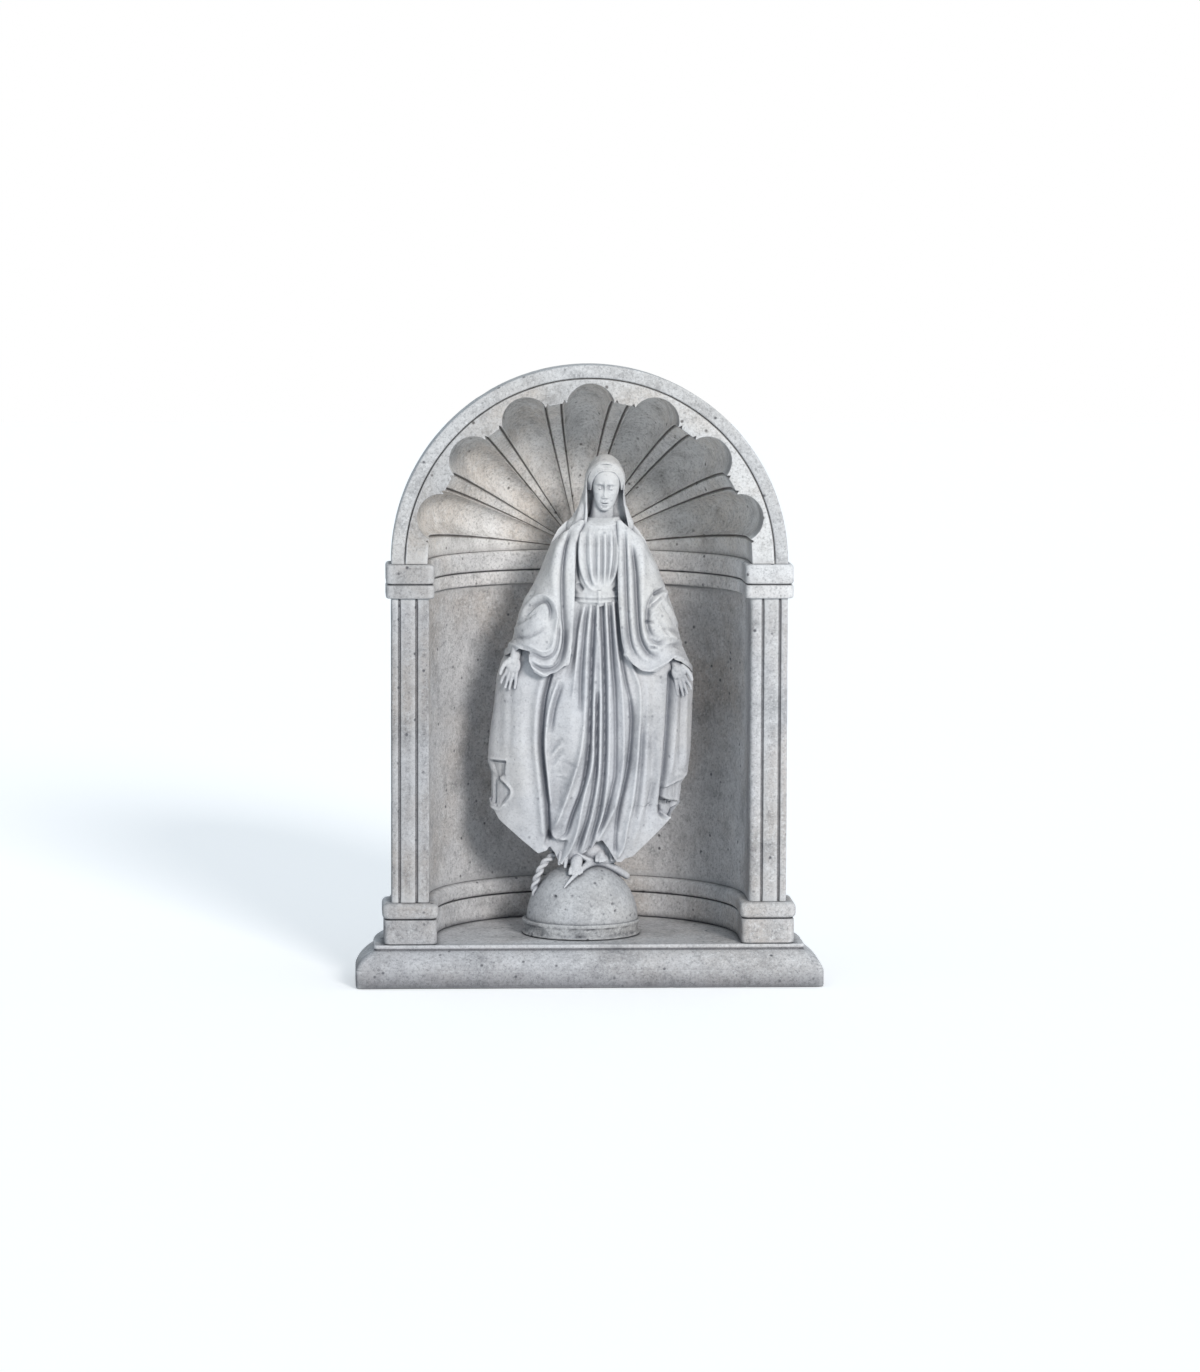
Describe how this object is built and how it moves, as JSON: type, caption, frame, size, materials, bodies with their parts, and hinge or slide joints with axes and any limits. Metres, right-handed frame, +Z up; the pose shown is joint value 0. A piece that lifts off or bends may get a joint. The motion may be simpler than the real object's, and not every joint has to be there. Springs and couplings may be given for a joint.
{
  "type": "garden wayside shrine niche with standing figure",
  "caption": "Half-round garden niche on a moulded base, with pilasters, a ribbed shell head under a round arch, and a veiled standing figure on a half globe.",
  "frame": {"origin": "middle of the base's flat underside, at the centre of its bounding box", "axes": "+X to the viewer's right, +Y to the back (the open front faces -Y), +Z up"},
  "size_m": [0.596, 0.3779, 0.79],
  "materials": {
    "niche_stone": "weathered cast stone, matt",
    "figure_stone": "pale cast stone, matt"
  },
  "bodies": {
    "root": {"arch_ring": "niche_stone", "base_floor_course": "niche_stone", "base_moulding": "niche_stone", "base_plinth": "niche_stone", "bodice": "figure_stone", "capital_left": "niche_stone", "capital_right": "niche_stone", "feet": "figure_stone", "globe_plinth": "figure_stone", "gown_skirt": "figure_stone", "half_globe": "figure_stone", "hand_left": "figure_stone", "hand_right": "figure_stone", "head": "figure_stone", "impost_band": "niche_stone", "mantle_back": "figure_stone", "mantle_panel_left": "figure_stone", "mantle_panel_right": "figure_stone", "niche_wall_1": "niche_stone", "niche_wall_2": "niche_stone", "niche_wall_3": "niche_stone", "niche_wall_4": "niche_stone", "niche_wall_5": "niche_stone", "niche_wall_6": "niche_stone", "pedestal_left": "niche_stone", "pedestal_right": "niche_stone", "pilaster_left": "niche_stone", "pilaster_right": "niche_stone", "sash": "figure_stone", "serpent": "figure_stone", "shell_lobe_1": "niche_stone", "shell_lobe_2": "niche_stone", "shell_lobe_3": "niche_stone", "shell_lobe_4": "niche_stone", "shell_lobe_5": "niche_stone", "shell_lobe_6": "niche_stone", "shell_lobe_7": "niche_stone", "shell_root": "niche_stone", "sleeve_left": "figure_stone", "sleeve_right": "figure_stone", "veil": "figure_stone", "wall_footing": "niche_stone"}
  },
  "joints": []
}
